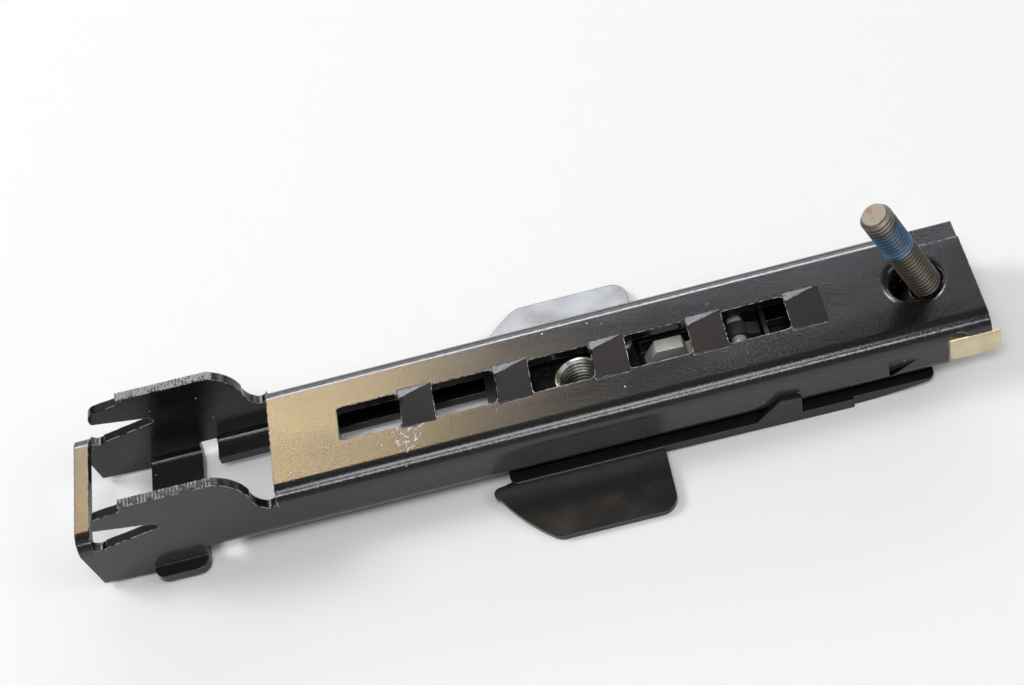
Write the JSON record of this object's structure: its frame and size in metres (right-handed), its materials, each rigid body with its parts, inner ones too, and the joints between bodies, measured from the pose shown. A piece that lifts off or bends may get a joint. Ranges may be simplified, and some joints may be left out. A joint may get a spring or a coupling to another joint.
{
  "type": "seat belt height adjuster",
  "caption": "Slotted C-channel rail with a hook end, a captive pillar bolt and a sliding, latching belt anchor behind a winged front plate.",
  "frame": {"origin": "on the outer, pillar-side face of the web, on the rail's centre line, 9 mm ahead of the first window", "axes": "+X along the rail from the hook end towards the bolt end, +Y to the far flange, +Z out of the web to the pillar"},
  "size_m": [0.2339, 0.0744, 0.0486],
  "materials": {
    "black_paint": "semi-gloss black paint on pressed steel",
    "yellow_zinc": "yellow passivated zinc on spring steel",
    "phosphate": "phosphated steel with a blue thread patch",
    "dark_steel": "dark oiled steel",
    "pale_zinc": "pale yellow-green zinc",
    "black_nylon": "moulded black nylon",
    "bright_zinc": "zinc-plated steel",
    "spring_steel": "zinc-plated spring wire",
    "matte_black": "fine-grained matte black moulding"
  },
  "bodies": {
    "rail": {"rail": "black_paint", "bolt_clip": "yellow_zinc"},
    "slider": {"slider_plate": "dark_steel", "anchor_nut": "pale_zinc", "shoe_hook_end": "black_nylon", "shoe_bolt_end": "black_nylon", "latch_housing": "dark_steel", "latch_pin": "bright_zinc", "latch_spring": "spring_steel", "slider_rivets": "bright_zinc", "front_plate": "matte_black", "plate_washer": "dark_steel", "plate_rivets": "black_nylon"},
    "lever": {"latch_lever": "bright_zinc"},
    "pusher": {"release_pusher": "black_nylon"},
    "bolt": {"mounting_bolt": "phosphate"}
  },
  "joints": [
    {"name": "slider_travel", "type": "slide", "parent": "rail", "child": "slider", "axis": [1, 0, 0], "range_m": [-0.075, 0.025]},
    {"name": "pusher_travel", "type": "slide", "parent": "slider", "child": "pusher", "axis": [0, 0, 1], "range_m": [-0.0016, 0], "stiffness_N_per_m": 400, "springref_m": -0.003},
    {"name": "lever_pivot", "type": "hinge", "parent": "slider", "child": "lever", "pos_m": [0.112, 0.0028, -0.0076], "axis": [0, 1, 0], "range_deg": [0, 15.5], "deforming": ["latch_spring"]},
    {"name": "bolt_spin", "type": "hinge", "parent": "rail", "child": "bolt", "pos_m": [0.16105, 0, -0.00552], "axis": [-0.3535, 0, 0.9354], "continuous": true}
  ],
  "couplings": [
    {"joint": "lever_pivot", "follows": "pusher_travel", "rad_per_m": -169.08}
  ]
}
